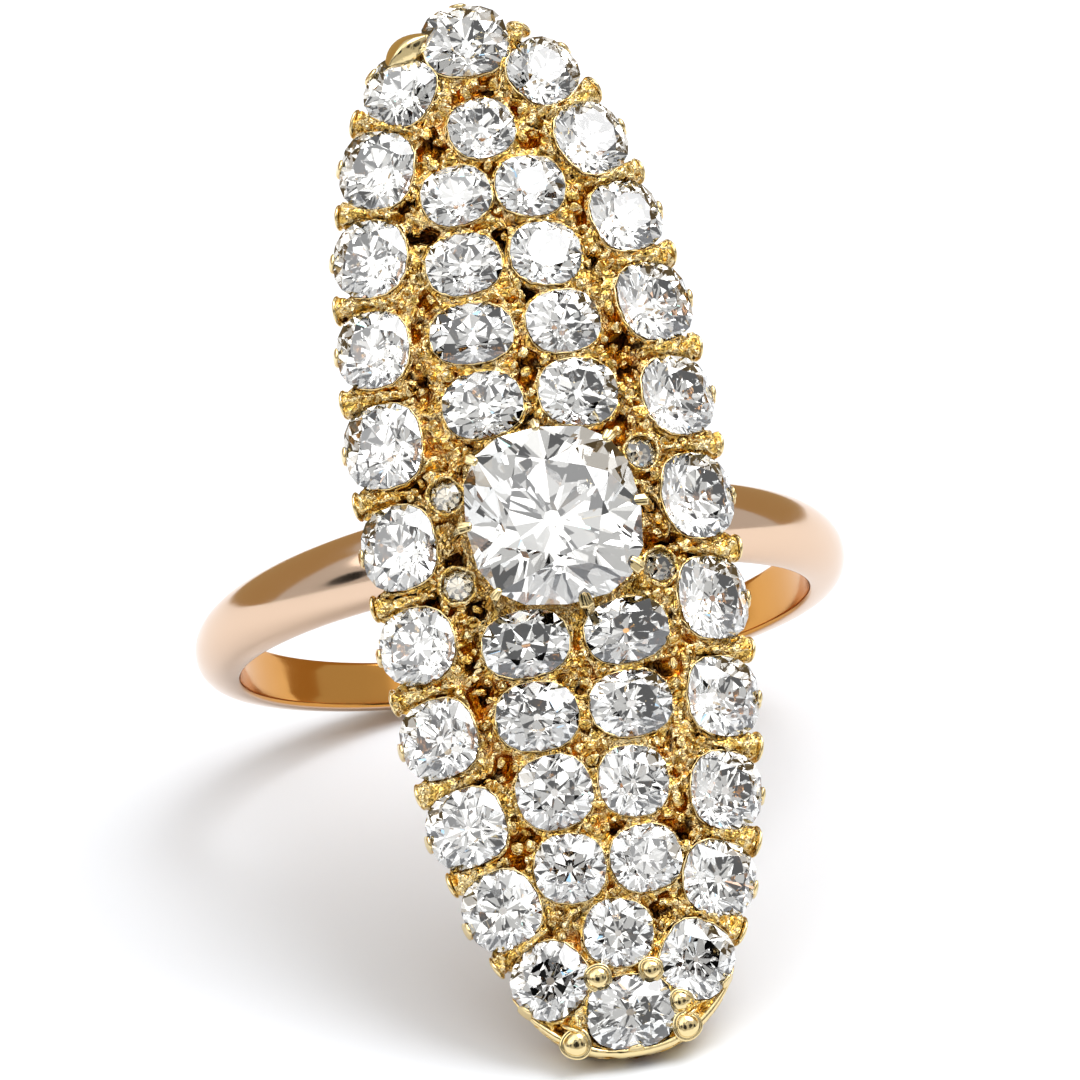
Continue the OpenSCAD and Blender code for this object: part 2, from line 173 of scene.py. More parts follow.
def nearest_stones(p):
    """For each point, how far it lies outside the nearest stone, and that stone's number."""
    first = np.full(len(p), FAR)
    which = np.zeros(len(p), int)
    for i, s in enumerate(STONES):
        near = np.flatnonzero(np.abs(p - s.place).max(1) < s.size * 1.3 + 1.2)
        d = s.outside(p[near])
        closer = d < first[near]
        first[near[closer]] = d[closer]
        which[near[closer]] = i
    return first, which


def smooth_step(low, high, v):
    t = np.clip((v - low) / (high - low), 0, 1)
    return t * t * (3 - 2 * t)


def scramble(cells, seed):
    """A number from 0 to 1 for each whole-numbered cell, always the same for the same cell and seed."""
    c = cells.astype(np.int64)
    h = (c[..., 0] * 73856093) ^ (c[..., 1] * 19349663) ^ (c[..., 2] * 83492791) ^ (seed * 2654435761)
    for _ in range(2):
        h = ((h ^ (h >> 15)) * 2246822519) & 0xFFFFFFFF
    return ((h ^ (h >> 13)) & 0xFFFFFF) / 0x1000000


def nearest_cell(p, size, seed):
    """The middle of the random cell that each point is in, and the cell's number."""
    q = p / size
    base = np.floor(q)
    best = np.full(len(q), FAR)
    middle = np.zeros_like(q)
    number = np.zeros_like(q)
    for step in np.ndindex(3, 3, 3):
        c = base + np.array(step) - 1
        m = c + np.stack([scramble(c, seed + k) for k in range(3)], axis=1)
        d = np.square(m - q).sum(1)
        closer = d < best
        best[closer], middle[closer], number[closer] = d[closer], m[closer], c[closer]
    return middle * size, number


def facets(p, size, slope):
    """Height of graver-cut facets of a given size at each point, from randomly tilted cells."""
    middle, number = nearest_cell(p, size, 0)
    tilt = np.stack([scramble(number, 10 + k) for k in range(3)], axis=1) * 2 - 1
    return ((p - middle) * tilt).sum(1) * slope


def lumps(p, size, seed):
    """Rounded lumps of metal crowded together: 1 on their tops and about 0 in the creases."""
    middle, number = nearest_cell(p, size, seed)
    tall = 0.45 + 0.55 * scramble(number, seed + 20)
    return tall * (1 - np.square(p - middle).sum(1) / np.square(0.7 * size))


def waves(p, size, seed=0):
    """Soft noise from -1 to 1 of a given grain size."""
    q = p / size
    base = np.floor(q)
    f = q - base
    f = f * f * (3 - 2 * f)
    total = np.zeros(len(q))
    for step in np.ndindex(2, 2, 2):
        corner = np.array(step)
        weight = np.where(corner, f, 1 - f).prod(1)
        total += weight * (scramble(base + corner, seed) * 2 - 1)
    return total


# ---------- mesh helpers ----------

def points_of(verts):
    return np.array([v.co for v in verts])


def put(verts, co):
    for v, c in zip(verts, co):
        v.co = c


def tube(bm, around, along, place):
    """A closed bar: a grid rolled up by place(angle, share of the length), merged and capped."""
    grid = bmesh.ops.create_grid(bm, x_segments=around, y_segments=along, size=1.0)["verts"]
    uv = points_of(grid)
    put(grid, place((uv[:, 0] + 1) * math.pi, (uv[:, 1] + 1) / 2))
    bmesh.ops.remove_doubles(bm, verts=grid, dist=1e-5)
    open_edges = list({e for v in grid if v.is_valid for e in v.link_edges if e.is_boundary})
    if open_edges:
        bmesh.ops.holes_fill(bm, edges=open_edges, sides=around + 1)


def add_object(name, data):
    obj = bpy.data.objects.new(name, data)
    bpy.context.scene.collection.objects.link(obj)
    return obj


def add_mesh(name, bm, material):
    mesh = bpy.data.meshes.new(name)
    bm.to_mesh(mesh)
    bm.free()
    mesh.materials.append(material)
    return add_object(name, mesh)


def piece(name, bm, material, smooth=True):
    """Puts a finished shape where the ring rests, with nothing under the floor, as a piece of the ring."""
    bmesh.ops.recalc_face_normals(bm, faces=bm.faces[:])
    bm.transform(TO_WORLD)
    for v in bm.verts:
        v.co.z = max(v.co.z, 0.0)
    for f in bm.faces:
        f.smooth = smooth
    obj = add_mesh(name, bm, material)
    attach(obj, "root")
    return obj


# ---------- materials ----------

def linear(hex_colour):
    """An sRGB hex colour as the linear RGBA that shaders take."""
    parts = [int(hex_colour.lstrip("#")[i:i + 2], 16) / 255 for i in (0, 2, 4)]
    return [c / 12.92 if c <= 0.04045 else ((c + 0.055) / 1.055) ** 2.4 for c in parts] + [1.0]


def add_node(tree, kind, inputs=None, **settings):
    """Adds a node with its settings. An input is a value, or the socket that it is linked to."""
    new = tree.nodes.new(kind)
    for key, value in settings.items():
        setattr(new, key, value)
    for key, value in (inputs or {}).items():
        socket = new.inputs[key] if isinstance(key, int) else next(
            i for i in new.inputs if i.name == key and i.enabled)
        if isinstance(value, bpy.types.NodeSocket):
            tree.links.new(value, socket)
        else:
            socket.default_value = value
    return new


def result(mix):
    """The output of a Mix node in the data type that it is set to."""
    return next(o for o in mix.outputs if o.enabled)


def new_material(name):
    material = bpy.data.materials.get(name) or bpy.data.materials.new(name)
    material.use_nodes = True
    material.node_tree.nodes.clear()
    return material, material.node_tree


def polished_rose_gold():
    """18 carat rose gold, buffed: sharp reflections, broken only by hairline scratches from wear."""
    look = bpy.context.scene.ring_finish
    material, tree = new_material("rose_gold_polished")
    place = add_node(tree, "ShaderNodeTexCoord").outputs["Object"]
    hairline = 0.00006
    smear = 0.01 / 7  # seven to the centimetre
    # a hairline is too fine to show in the render, so it is drawn ten times as wide
    scratches = add_node(tree, "ShaderNodeTexNoise", {"Vector": place, "Scale": 0.1 / hairline, "Detail": 2.0})
    smears = add_node(tree, "ShaderNodeTexNoise", {"Vector": place, "Scale": 1 / smear, "Detail": 2.0})
    gloss = add_node(tree, "ShaderNodeMapRange", {
        "Value": smears.outputs["Fac"], "From Min": 0.35, "From Max": 0.65,
        "To Min": 0.10, "To Max": 0.17})
    bump = add_node(tree, "ShaderNodeBump", {
        "Height": scratches.outputs["Fac"], "Strength": 0.04, "Distance": 0.00002})
    # the band's inside is painted darker and redder: painted shade and a painted reflection of the gold head
    inside = add_node(tree, "ShaderNodeAttribute", attribute_name="inside").outputs["Fac"]
    colour = add_node(tree, "ShaderNodeMix", {
        "Factor": inside, "A": linear(look.rose_gold_hex), "B": linear(look.inside_shade_gold_hex)}, data_type="RGBA")
    shader = add_node(tree, "ShaderNodeBsdfPrincipled", {
        "Base Color": result(colour), "Metallic": 1.0,
        "Roughness": gloss.outputs["Result"], "Normal": bump.outputs["Normal"]})
    add_node(tree, "ShaderNodeOutputMaterial", {"Surface": shader.outputs["BSDF"]})
    return material


def graver_cut_gold():
    """18 carat yellow gold cut with a graver: bright little facets, a painted highlight on the crests, and
    painted shade, red and dark, in the pits.
    """
    look = bpy.context.scene.ring_finish
    material, tree = new_material("yellow_gold_cut")
    place = add_node(tree, "ShaderNodeTexCoord").outputs["Object"]
    cut = 0.00016
    gloss_and_shade_size = 0.01 / 14  # fourteen to the centimetre
    cells = add_node(tree, "ShaderNodeTexVoronoi", {"Vector": place, "Scale": 1 / cut}, feature="F1")
    folds = add_node(tree, "ShaderNodeTexNoise", {
        "Vector": place, "Scale": 0.42 / cut, "Detail": 3.0, "Roughness": 0.6, "Lacunarity": 2.3,
        "Offset": 0.9, "Gain": 1.2}, noise_type="RIDGED_MULTIFRACTAL")
    height = add_node(tree, "ShaderNodeMath", {0: cells.outputs["Distance"], 1: folds.outputs["Fac"]},
                      operation="ADD")
    bump = add_node(tree, "ShaderNodeBump", {
        "Height": height.outputs["Value"], "Strength": 0.9, "Distance": cut / 3})
    # low gold is painted darker and redder by depth: painted shade
    pit = add_node(tree, "ShaderNodeAttribute", attribute_name="pit").outputs["Fac"]
    # this noise sets the roughness, and which pits get the darkest painted shade
    gloss_and_shade_noise = add_node(tree, "ShaderNodeTexNoise", {"Vector": place, "Scale": 1 / gloss_and_shade_size, "Detail": 1.0})
    gloss = add_node(tree, "ShaderNodeMapRange", {
        "Value": gloss_and_shade_noise.outputs["Fac"], "From Min": 0.3, "From Max": 0.7, "To Min": 0.03, "To Max": 0.11})
    darkest_shade = add_node(tree, "ShaderNodeMapRange", {
        "Value": gloss_and_shade_noise.outputs["Fac"], "From Min": 0.45, "From Max": 0.58, "To Min": 0.0, "To Max": 1.0})
    deep = add_node(tree, "ShaderNodeMix", {
        "Factor": darkest_shade.outputs["Result"], "A": linear(look.pit_shade_hex), "B": linear(look.pit_dark_shade_hex)},
        data_type="RGBA")
    # the crests of the folds are painted paler: a painted highlight
    crest_highlight_mask = add_node(tree, "ShaderNodeMapRange", {
        "Value": folds.outputs["Fac"], "From Min": 0.5, "From Max": 1.3, "To Min": 0.0, "To Max": 1.0})
    crest_highlight_colour = add_node(tree, "ShaderNodeMix", {
        "Factor": crest_highlight_mask.outputs["Result"], "A": linear(look.yellow_gold_hex), "B": linear(look.crest_highlight_hex)},
        data_type="RGBA")
    colour = add_node(tree, "ShaderNodeMix", {
        "Factor": pit, "A": result(crest_highlight_colour), "B": result(deep)}, data_type="RGBA")
    shader = add_node(tree, "ShaderNodeBsdfPrincipled", {
        "Base Color": result(colour), "Metallic": 1.0,
        "Roughness": gloss.outputs["Result"], "Normal": bump.outputs["Normal"]})
    add_node(tree, "ShaderNodeOutputMaterial", {"Surface": shader.outputs["BSDF"]})
    return material


def burnished_yellow_gold():
    """The same gold, painted paler as a painted sheen, where a burnisher or wear has polished it: claws' noses,
    beads and thin rims.
    """
    look = bpy.context.scene.ring_finish
    material, tree = new_material("yellow_gold_burnished")
    place = add_node(tree, "ShaderNodeTexCoord").outputs["Object"]
    dent = 0.0002
    dents = add_node(tree, "ShaderNodeTexNoise", {"Vector": place, "Scale": 1 / dent, "Detail": 2.0})
    bump = add_node(tree, "ShaderNodeBump", {
        "Height": dents.outputs["Fac"], "Strength": 0.25, "Distance": dent / 5})
    shader = add_node(tree, "ShaderNodeBsdfPrincipled", {
        "Base Color": linear(look.sheen_pale_gold_hex), "Metallic": 1.0, "Roughness": 0.14,
        "Normal": bump.outputs["Normal"]})
    add_node(tree, "ShaderNodeOutputMaterial", {"Surface": shader.outputs["BSDF"]})
    return material


def cut_diamond(name, hex_colour):
    """Old cut diamond: clear, with a refractive index of 2.42 that throws light back up."""
    material, tree = new_material(name)
    shader = add_node(tree, "ShaderNodeBsdfPrincipled", {
        "Base Color": linear(hex_colour), "Roughness": 0.0, "IOR": 2.417, "Transmission Weight": 1.0})
    add_node(tree, "ShaderNodeOutputMaterial", {"Surface": shader.outputs["BSDF"]})
    return material


def studio_white():
    """Matt white card for the floor."""
    material, tree = new_material("studio_white")
    shader = add_node(tree, "ShaderNodeBsdfPrincipled", {
        "Base Color": linear("#EFF3F9"), "Roughness": 0.9, "Specular IOR Level": 0.1})
    add_node(tree, "ShaderNodeOutputMaterial", {"Surface": shader.outputs["BSDF"]})
    return material


# ---------- sizes and colours that a user would change ----------

class RingBand(bpy.types.PropertyGroup):
    front_width: bpy.props.FloatProperty(
        name="Width at shoulders", description="Width of the band beside the head",
        default=0.0025, unit="LENGTH", subtype="DISTANCE")
    back_width: bpy.props.FloatProperty(
        name="Width at back", description="Width of the band under the finger",
        default=0.0014, unit="LENGTH", subtype="DISTANCE")
    opening: bpy.props.FloatProperty(
        name="Opening", description="Half of the angle under the head where the band is open",
        default=math.radians(20), unit="ROTATION", subtype="ANGLE")


class RingHead(bpy.types.PropertyGroup):
    nugget: bpy.props.FloatProperty(
        name="Nugget size", description="Radius of the largest nuggets of gold between the stones",
        default=0.0002, unit="LENGTH", subtype="DISTANCE")
    nugget_count: bpy.props.IntProperty(
        name="Nuggets", description="Number of nuggets tried over the head", default=6000)
    bead: bpy.props.FloatProperty(
        name="Bead size", description="Radius of the polished beads at the lower tip",
        default=0.00031, unit="LENGTH", subtype="DISTANCE")


class RingFinish(bpy.types.PropertyGroup):
    rose_gold_hex: bpy.props.StringProperty(
        name="Rose gold", description="sRGB hex colour of the band", default="#E0C2A8")
    # the colour of the band's inside is painted shade and painted reflection
    inside_shade_gold_hex: bpy.props.StringProperty(
        name="Inside of the band", description="sRGB hex colour of the redder gold inside the band",
        default="#CF9348")
    yellow_gold_hex: bpy.props.StringProperty(
        name="Yellow gold", description="sRGB hex colour of the cut gold", default="#D9B25E")
    # the paler crests are a painted highlight
    crest_highlight_hex: bpy.props.StringProperty(
        name="Painted highlight on crests", description="sRGB hex colour of the paler gold on worn ridges", default="#F2DFAF")
    diamond_hex: bpy.props.StringProperty(
        name="Diamonds", description="sRGB hex colour of the clear diamonds", default="#FDFCF8")
    small_diamond_hex: bpy.props.StringProperty(
        name="Small diamonds", description="sRGB hex colour of the four smallest diamonds", default="#C9C0AC")
    # the pits' two colours are painted shade, red-orange and nearly black
    pit_shade_hex: bpy.props.StringProperty(
        name="Gold in the pits", description="sRGB hex colour of the gold deep in the pits", default="#BC7A1C")
    pit_dark_shade_hex: bpy.props.StringProperty(
        name="Darkest painted shade in the pits", description="sRGB hex colour of the old dirt in the pits", default="#321A08")
    # the paler colour of the polished parts is a painted sheen
    sheen_pale_gold_hex: bpy.props.StringProperty(
        name="Burnished gold", description="sRGB hex colour of the polished claws", default="#EED7A0")


class RingStage(bpy.types.PropertyGroup):
    camera_azimuth: bpy.props.FloatProperty(
        name="Azimuth", description="Camera's angle round the ring from straight in front",
        default=math.radians(-7.5288), unit="ROTATION", subtype="ANGLE")
    camera_elevation: bpy.props.FloatProperty(
        name="Elevation", description="Camera's angle over the floor",
        default=math.radians(26.5136), unit="ROTATION", subtype="ANGLE")
    camera_roll: bpy.props.FloatProperty(
        name="Roll", description="Camera's turn about its own line of sight",
        default=math.radians(-4.6637), unit="ROTATION", subtype="ANGLE")
    camera_distance: bpy.props.FloatProperty(
        name="Distance", description="From the camera to the point that it looks at",
        default=0.357306, unit="LENGTH", subtype="DISTANCE")
    camera_view: bpy.props.FloatProperty(
        name="Field of view", description="Angle that the frame takes in",
        default=math.radians(5.1006), unit="ROTATION", subtype="ANGLE")
    camera_aim: bpy.props.FloatVectorProperty(
        name="Aim", description="Point that the camera looks at",
        default=(-0.0000057, -0.0005826, 0.0114208), unit="LENGTH", subtype="XYZ")


# ---------- the band ----------

BAND_STEPS = 220
CROWN_POWER = 0.9  # a little fuller than a true half-round
EASED_EDGE = [(-0.985, 0.09), (-0.95, 0.035), (-0.88, 0.008), (-0.8, 0.0)]  # share of the width, rise
BAND_INSIDE = EASED_EDGE + [(f, 0.0) for f in (-0.5, 0.0, 0.5)] + [(-f, r) for f, r in reversed(EASED_EDGE)]
INSIDE_SHADE_REACH = 0.06  # the painted shade and painted reflection go this far over the band's inside


def half_round(half_w):
    """Section of the band: flat inside, half-round outside, with its inner edges eased. (width, radius)"""
    low = BORE_R + CROWN_START
    rise = BAND_CROWN - CROWN_START
    b = np.linspace(math.pi / 2, -math.pi / 2, 29)
    outer = np.stack([half_w * np.sin(b), low + rise * np.abs(np.cos(b)) ** CROWN_POWER], axis=1)
    return np.concatenate([outer, [(f * half_w, BORE_R + r) for f, r in BAND_INSIDE]])


class RING_OT_band(bpy.types.Operator):
    """Spins the half-round band and narrows it towards the back"""
    bl_idname = "ring.band"
    bl_label = "Band"

    def execute(self, context):
        size = context.scene.ring_band
        front, back = size.front_width / MM, size.back_width / MM
        start = size.opening
        bm = bmesh.new()
        profile = half_round(front / 2)
        ring = bmesh.ops.create_circle(bm, segments=len(profile), radius=1)["verts"]
        put(ring, [(r * math.sin(start), w, r * math.cos(start)) for w, r in profile])
        bmesh.ops.spin(bm, geom=ring + bm.edges[:], cent=(0, 0, 0), axis=(0, 1, 0), dvec=(0, 0, 0),
                       angle=2 * math.pi - 2 * start, steps=BAND_STEPS, use_merge=False, use_duplicate=False)
        # the inside faces are marked for the painted shade and painted reflection
        inside = bm.verts.layers.float.new("inside")
        for v in bm.verts:
            v[inside] = float(math.hypot(v.co.x, v.co.z) < BORE_R + INSIDE_SHADE_REACH)
            a = math.atan2(v.co.x, v.co.z)
            v.co.y *= (back + (front - back) * (0.5 + 0.5 * math.cos(a))) / front
        bmesh.ops.holes_fill(bm, edges=[e for e in bm.edges if e.is_boundary], sides=0)
        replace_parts(piece("band", bm, polished_rose_gold()), "shank")
        return {"FINISHED"}


# ---------- the head's web of gold ----------

SHEET_COLS = 154
SHEET_ROWS = 456
SEAT_CUT = 0.3  # size of the hole under a stone, as a share of the stone
SEAT_SLOPE = 1.3
SEAT_GAP = 0.05
TIP_START = 14.6  # past this the plate is the smooth lower tip
LIP_AT = 0.055  # the crest of a lip, out from a stone's edge
LIP_WIDTH = 0.045
WEB_DEPTH = 0.19  # of the gold between the stones, under their edges
PIT_DEPTH = 0.30
PIT_SHADE_HEIGHTS = (-0.13, -0.36)  # heights at which the painted shade of the pits starts and is full
LUMP_HEIGHT = 0.20


def web_height(p, first, which):
    """Height of the gold over the stones' edges: thin rippled lips, crowded lumps and deep pits."""
    lip = 0.10 + 0.13 * waves(p, 0.15) + 0.08 * waves(p, 0.5, 9)
    lip *= np.exp(-np.square((first - LIP_AT) / LIP_WIDTH))
    room = smooth_step(0.08, 0.18, first)
    pits = smooth_step(0.0, 0.5, waves(p, 0.5, 4)) * smooth_step(0.10, 0.24, first)
    pits *= smooth_step(-TIP_START, 0.3 - TIP_START, p[:, 1])
    creases = 0.5 - np.abs(waves(p, 0.30, 5)) + 0.5 * (0.5 - np.abs(waves(p, 0.15, 8)))
    relief = LUMP_HEIGHT * lumps(p, 0.40, 1) + LUMP_HEIGHT * creases - 0.09
    h = lip - WEB_DEPTH + room * relief - PIT_DEPTH * pits
    lift = np.array([np.linalg.norm(s.place[[0, 2]]) - GIRDLE_R + dome_drop(s.place[1]) for s in STONES])
    seat = np.minimum(lift[which] - SEAT_GAP + SEAT_SLOPE * first, h)
    return np.where(first < 0.015, seat, h)


def along_head(share):
    """Place along the head of the plate's rows. Its top end hides under the topmost stones."""
    return share * np.where(share > 0, HEAD_TOP_L, HEAD_HALF_L)


EDGE_TUCK = 0.12  # how far the plate's edge hides under a rim stone
GAP_TUCK = 0.35  # how far it is drawn in where there is no stone
SMOOTHING = np.array([1, 2, 3, 2, 1]) / 9


def scalloped_edge(share):
    """How far out the plate reaches on the left and right of each row. It hides under the rim stones,
    and shows only at the lower tip."""
    y = along_head(share)
    full = HEAD_HALF_W * (1 - 0.9995 * np.abs(share) ** HEAD_POWER) ** (1 / HEAD_POWER)
    steps = np.arange(0, 0.95, 0.02)
    edges = []
    for side in (-1, 1):
        x = side * np.maximum(full[:, None] - steps, 0)
        p = on_dome(x.ravel(), np.repeat(y, len(steps)))
        inside = nearest_stones(p)[0].reshape(x.shape) < -EDGE_TUCK
        pulled = np.where(inside.any(1), steps[inside.argmax(1)], GAP_TUCK)
        pulled = np.where(y < -TIP_START, 0.0, np.minimum(pulled, 0.5 * full))
        edges.append(full - np.convolve(np.pad(pulled, 2, mode="edge"), SMOOTHING, mode="valid"))
    return edges


class RING_OT_plate(bpy.types.Operator):
    """Shapes the head's plate: drilled under each stone, with lips, pits and cut facets between them"""
    bl_idname = "ring.plate"
    bl_label = "Head plate"

    def execute(self, context):
        bm = bmesh.new()
        grid = bmesh.ops.create_grid(bm, x_segments=SHEET_COLS, y_segments=SHEET_ROWS, size=1.0)["verts"]
        uv = points_of(grid)
        rows, row_of = np.unique(uv[:, 1].round(6), return_inverse=True)
        left, right = scalloped_edge(rows)
        hole_edges = -SEAT_CUT * np.array([s.size for s in STONES])

        def spread(u, row):
            return np.where(u < 0, left[row], right[row]) * u, along_head(rows[row])

        # a hole is cut under each stone
        first, which = nearest_stones(on_dome(*spread(uv[:, 0], row_of)))
        lost = first < hole_edges[which]
        bmesh.ops.delete(bm, geom=[v for v, gone in zip(grid, lost) if gone], context="VERTS")
        bmesh.ops.delete(bm, geom=[v for v in bm.verts if not v.link_faces], context="VERTS")
        kept = points_of(bm.verts)
        x, y = spread(kept[:, 0], np.searchsorted(rows, kept[:, 1].round(6) - 1e-7))
        # the holes' edges, which the sheet's own edge at 1 is not, are drawn onto smooth curves
        hole = np.array([v.is_boundary and max(abs(v.co.x), abs(v.co.y)) < 0.9999 for v in bm.verts])
        p = on_dome(x, y)
        first, which = nearest_stones(p)
        for i in np.flatnonzero(hole):
            s = STONES[which[i]]
            d = unit(s.flat(p[i]))
            step = (hole_edges[which[i]] - first[i]) * (d[0] * s.across + d[1] * s.along)
            x[i] += step[0]
            y[i] += step[1]
        p = on_dome(x, y)
        first, which = nearest_stones(p)
        h = web_height(p, first, which)
        top = on_dome(x, y, h)
        angle = np.arcsin(x / np.hypot(top[:, 0], top[:, 2]))
        under = PLATE_UNDER_R - dome_drop(y)
        bottom = np.stack([under * np.sin(angle), y, under * np.cos(angle)], axis=1)
        put(bm.verts, top)
        # the deeper the gold, the more painted shade of the pits it gets
        pit = bm.verts.layers.float.new("pit")
        for v, depth in zip(bm.verts, smooth_step(*PIT_SHADE_HEIGHTS, h)):
            v[pit] = depth
        sheet = bm.verts[:]
        # the underside is a copy of the sheet, joined to it by walls
        out = bmesh.ops.extrude_face_region(bm, geom=bm.faces[:], use_keep_orig=True)
        lowered = [g for g in out["geom"] if isinstance(g, bmesh.types.BMVert)]
        for i, j in zip(*(np.lexsort(points_of(verts).T) for verts in (sheet, lowered))):
            lowered[j].co = bottom[i]
        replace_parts(piece("head_plate", bm, graver_cut_gold()), "setting")
        return {"FINISHED"}


TIP_LIP_SPAN = math.radians(64)
TIP_LIP_DROP = 0.27  # under the level of the stones' edges
TIP_LIP_HALF_W = 0.18
TIP_LIP_HALF_H = 0.27


class RING_OT_tip_lip(bpy.types.Operator):
    """Runs the smooth lip of metal under the lowest stone"""
    bl_idname = "ring.tip_lip"
    bl_label = "Lip at the lower tip"

    def execute(self, context):
        def place(a, t):
            # it follows the head's outline, a little inside it
            turn = (t - 0.5) * TIP_LIP_SPAN
            x = HEAD_HALF_W * np.sign(turn) * np.abs(np.sin(turn)) ** (2 / HEAD_POWER) * 0.983
            y = -HEAD_HALF_L * np.cos(turn) ** (2 / HEAD_POWER) * 0.9875
            ends = np.sqrt(np.clip(1 - np.square(2 * t - 1) ** 3, 0.01, 1))
            mid = on_dome(x, y, -TIP_LIP_DROP)
            n = dome_normal(mid)
            out = unit(mid * (1, 1, 0) - n * (mid * (1, 1, 0) * n).sum(1)[:, None])
            ripple = 1 + 0.16 * waves(mid, 0.4, 6)
            return moved(mid, (out, np.cos(a) * TIP_LIP_HALF_W * ends * ripple),
                         (n, np.sin(a) * TIP_LIP_HALF_H * ends * ripple))

        bm = bmesh.new()
        tube(bm, 16, 90, place)
        piece("tip_lip", bm, burnished_yellow_gold())
        return {"FINISHED"}


# ---------- claws ----------

def rim_gaps():
    """Between each rim stone and the next: the middle of the gap, and unit vectors along, out and up."""
    for i, a in enumerate(RIM):
        b = RIM[(i + 1) % len(RIM)]
        way = unit(b.place - a.place)
        m = (a.edge(a.angle(way)) + b.edge(b.angle(-way))) / 2
        m = on_dome(m[0], m[1])
        n = dome_normal(m)
        way = unit(way - n * (way @ n))
        yield m, way, np.cross(n, way), n


GAP_CLAW = [  # distance outwards, half width, top, bottom
    (-0.85, 0.08, 0.00, -0.35), (-0.45, 0.12, 0.05, -0.40), (0.0, 0.15, 0.08, -0.45),
    (0.40, 0.20, 0.12, -0.50), (0.70, 0.28, 0.16, -0.60), (0.88, 0.34, 0.19, -0.68),
    (1.00, 0.37, 0.20, -0.68), (1.06, 0.34, 0.17, -0.62), (1.04, 0.26, 0.10, -0.55)]
NOSE_OUT, NOSE_DROP = 1.08, 0.24  # where the polished nose at a claw's end stands
NOSE_HALF_W, NOSE_HALF_H, NOSE_HALF_L = 0.44, 0.50, 0.12
LEAF_HALF_W, LEAF_HALF_H, LEAF_LENGTH = 0.50, 0.60, 2.1


def rounded(wave, power):
    """A sine or cosine raised to a power, with its sign kept: under 1 squares a section, over 1 ridges it."""
    return np.sign(wave) * np.abs(wave) ** power


class RING_OT_gap_claws(bpy.types.Operator):
    """Lofts the claws between the rim stones: stippled bars that widen outwards to a flat oval nose"""
    bl_idname = "ring.gap_claws"
    bl_label = "Claws between the rim stones"

    def execute(self, context):
        spec = np.array(GAP_CLAW)
        bm, noses = bmesh.new(), bmesh.new()
        rng = np.random.default_rng(11)
        stations, share = np.linspace(0, 1, len(spec)), np.linspace(0, 1, 30)
        *gaps, leaf = rim_gaps()
        for m, way, out, n in gaps:
            table = np.stack([np.interp(share, stations, column) for column in spec.T], axis=1)
            table[:, 1:3] *= rng.uniform(0.85, 1.1, 2)
            c = m + out * table[:, :1] * rng.uniform(0.92, 1.0) + way * rng.uniform(-0.06, 0.06)
            room = nearest_stones(on_dome(c[:, 0], c[:, 1]))[0]
            half = np.minimum(table[:, 1], np.maximum(room + 0.09, 0.07)) * (1 + 0.25 * waves(c, 0.3, 7))
            nose_size = rng.uniform(0.85, 1.1)

            def place(a, t):
                top, low, w = (np.interp(t, share, column) for column in (table[:, 2], table[:, 3], half))
                middle = np.stack([np.interp(t, share, column) for column in c.T], axis=1)
                h = (top + low) / 2 + rounded(np.sin(a), 0.7) * (top - low) / 2
                p = moved(middle, (way, rounded(np.cos(a), 0.7) * w), (n, h))
                rough = facets(p, 0.24, 0.8) + 0.10 * lumps(p, 0.24, 5) - 0.05
                return moved(p, (n, rough * (np.sin(a) > 0.1) * smooth_step(0.9, 0.7, t)))

            def nose_place(a, t):
                full = np.sqrt(np.clip(1 - np.square(2 * t - 1), 0.02, 1)) * nose_size
                return moved(m, (n, -NOSE_DROP), (out, NOSE_OUT + NOSE_HALF_L * (2 * t - 1)),
                             (way, np.cos(a) * NOSE_HALF_W * full), (n, np.sin(a) * NOSE_HALF_H * full))

            tube(bm, 28, 44, place)
            tube(noses, 20, 10, nose_place)
        piece("gap_claws", bm, graver_cut_gold())
        piece("claw_noses", noses, burnished_yellow_gold())

        # the claw left of the topmost stone is a smooth leaf
        m, way, out, n = leaf

        def leaf_place(a, t):
            full = np.sin(np.clip(t, 0.02, 0.98) ** 0.8 * math.pi)
            middle = moved(m, (out, 0.84 - 0.6 * (t - 0.5) ** 2), (way, (t - 0.5) * LEAF_LENGTH - 0.1))
            return moved(middle, (out, rounded(np.cos(a), 1.4) * LEAF_HALF_W * full),
                         (n, rounded(np.sin(a), 1.4) * LEAF_HALF_H * full - 0.10))

        bm = bmesh.new()
        tube(bm, 24, 20, leaf_place)
        piece("leaf_claw", bm, burnished_yellow_gold())
        return {"FINISHED"}


EDGE_CLAW_FOOT = 0.75  # under the stone's edge
EDGE_CLAW_LENGTH = 0.95
EDGE_CLAW_HALF_W = 0.27


class RING_OT_edge_claws(bpy.types.Operator):
    """Shapes the thin oval claws that stand at the outer edge of each rim stone"""
    bl_idname = "ring.edge_claws"
    bl_label = "Claws at the outer edges"

    def execute(self, context):
        bm = bmesh.new()
        for i, s in enumerate(RIM):
            way = unit(RIM[(i + 1) % len(RIM)].place - RIM[i - 1].place)
            out = unit(np.cross(s.up, way))
            edge = s.edge(s.angle(out))

            def place(a, t):
                high = EDGE_CLAW_LENGTH * t - EDGE_CLAW_FOOT
                wide = EDGE_CLAW_HALF_W * np.sqrt(np.clip(1 - np.square((t - 0.55) / 0.56), 0.03, 1))
                thick = 0.10 - 0.04 * t
                lean = 0.10 - 0.16 * smooth_step(0.55, 1, t) - 0.12 * smooth_step(0.5, 0, t)
                return moved(edge, (out, lean + np.cos(a) * thick), (s.up, high), (way, np.sin(a) * wide))

            tube(bm, 14, 12, place)
        piece("edge_claws", bm, burnished_yellow_gold())
        return {"FINISHED"}


CENTRE_CLAWS = [  # angle round the stone in degrees, half width, reach over the stone's edge
    (2, 0.20, 0.36), (47, 0.20, 0.15), (92, 0.17, 0.08), (137, 0.18, 0.12),
    (180, 0.20, 0.16), (226, 0.17, 0.08), (281, 0.24, 0.26), (320, 0.24, 0.28)]


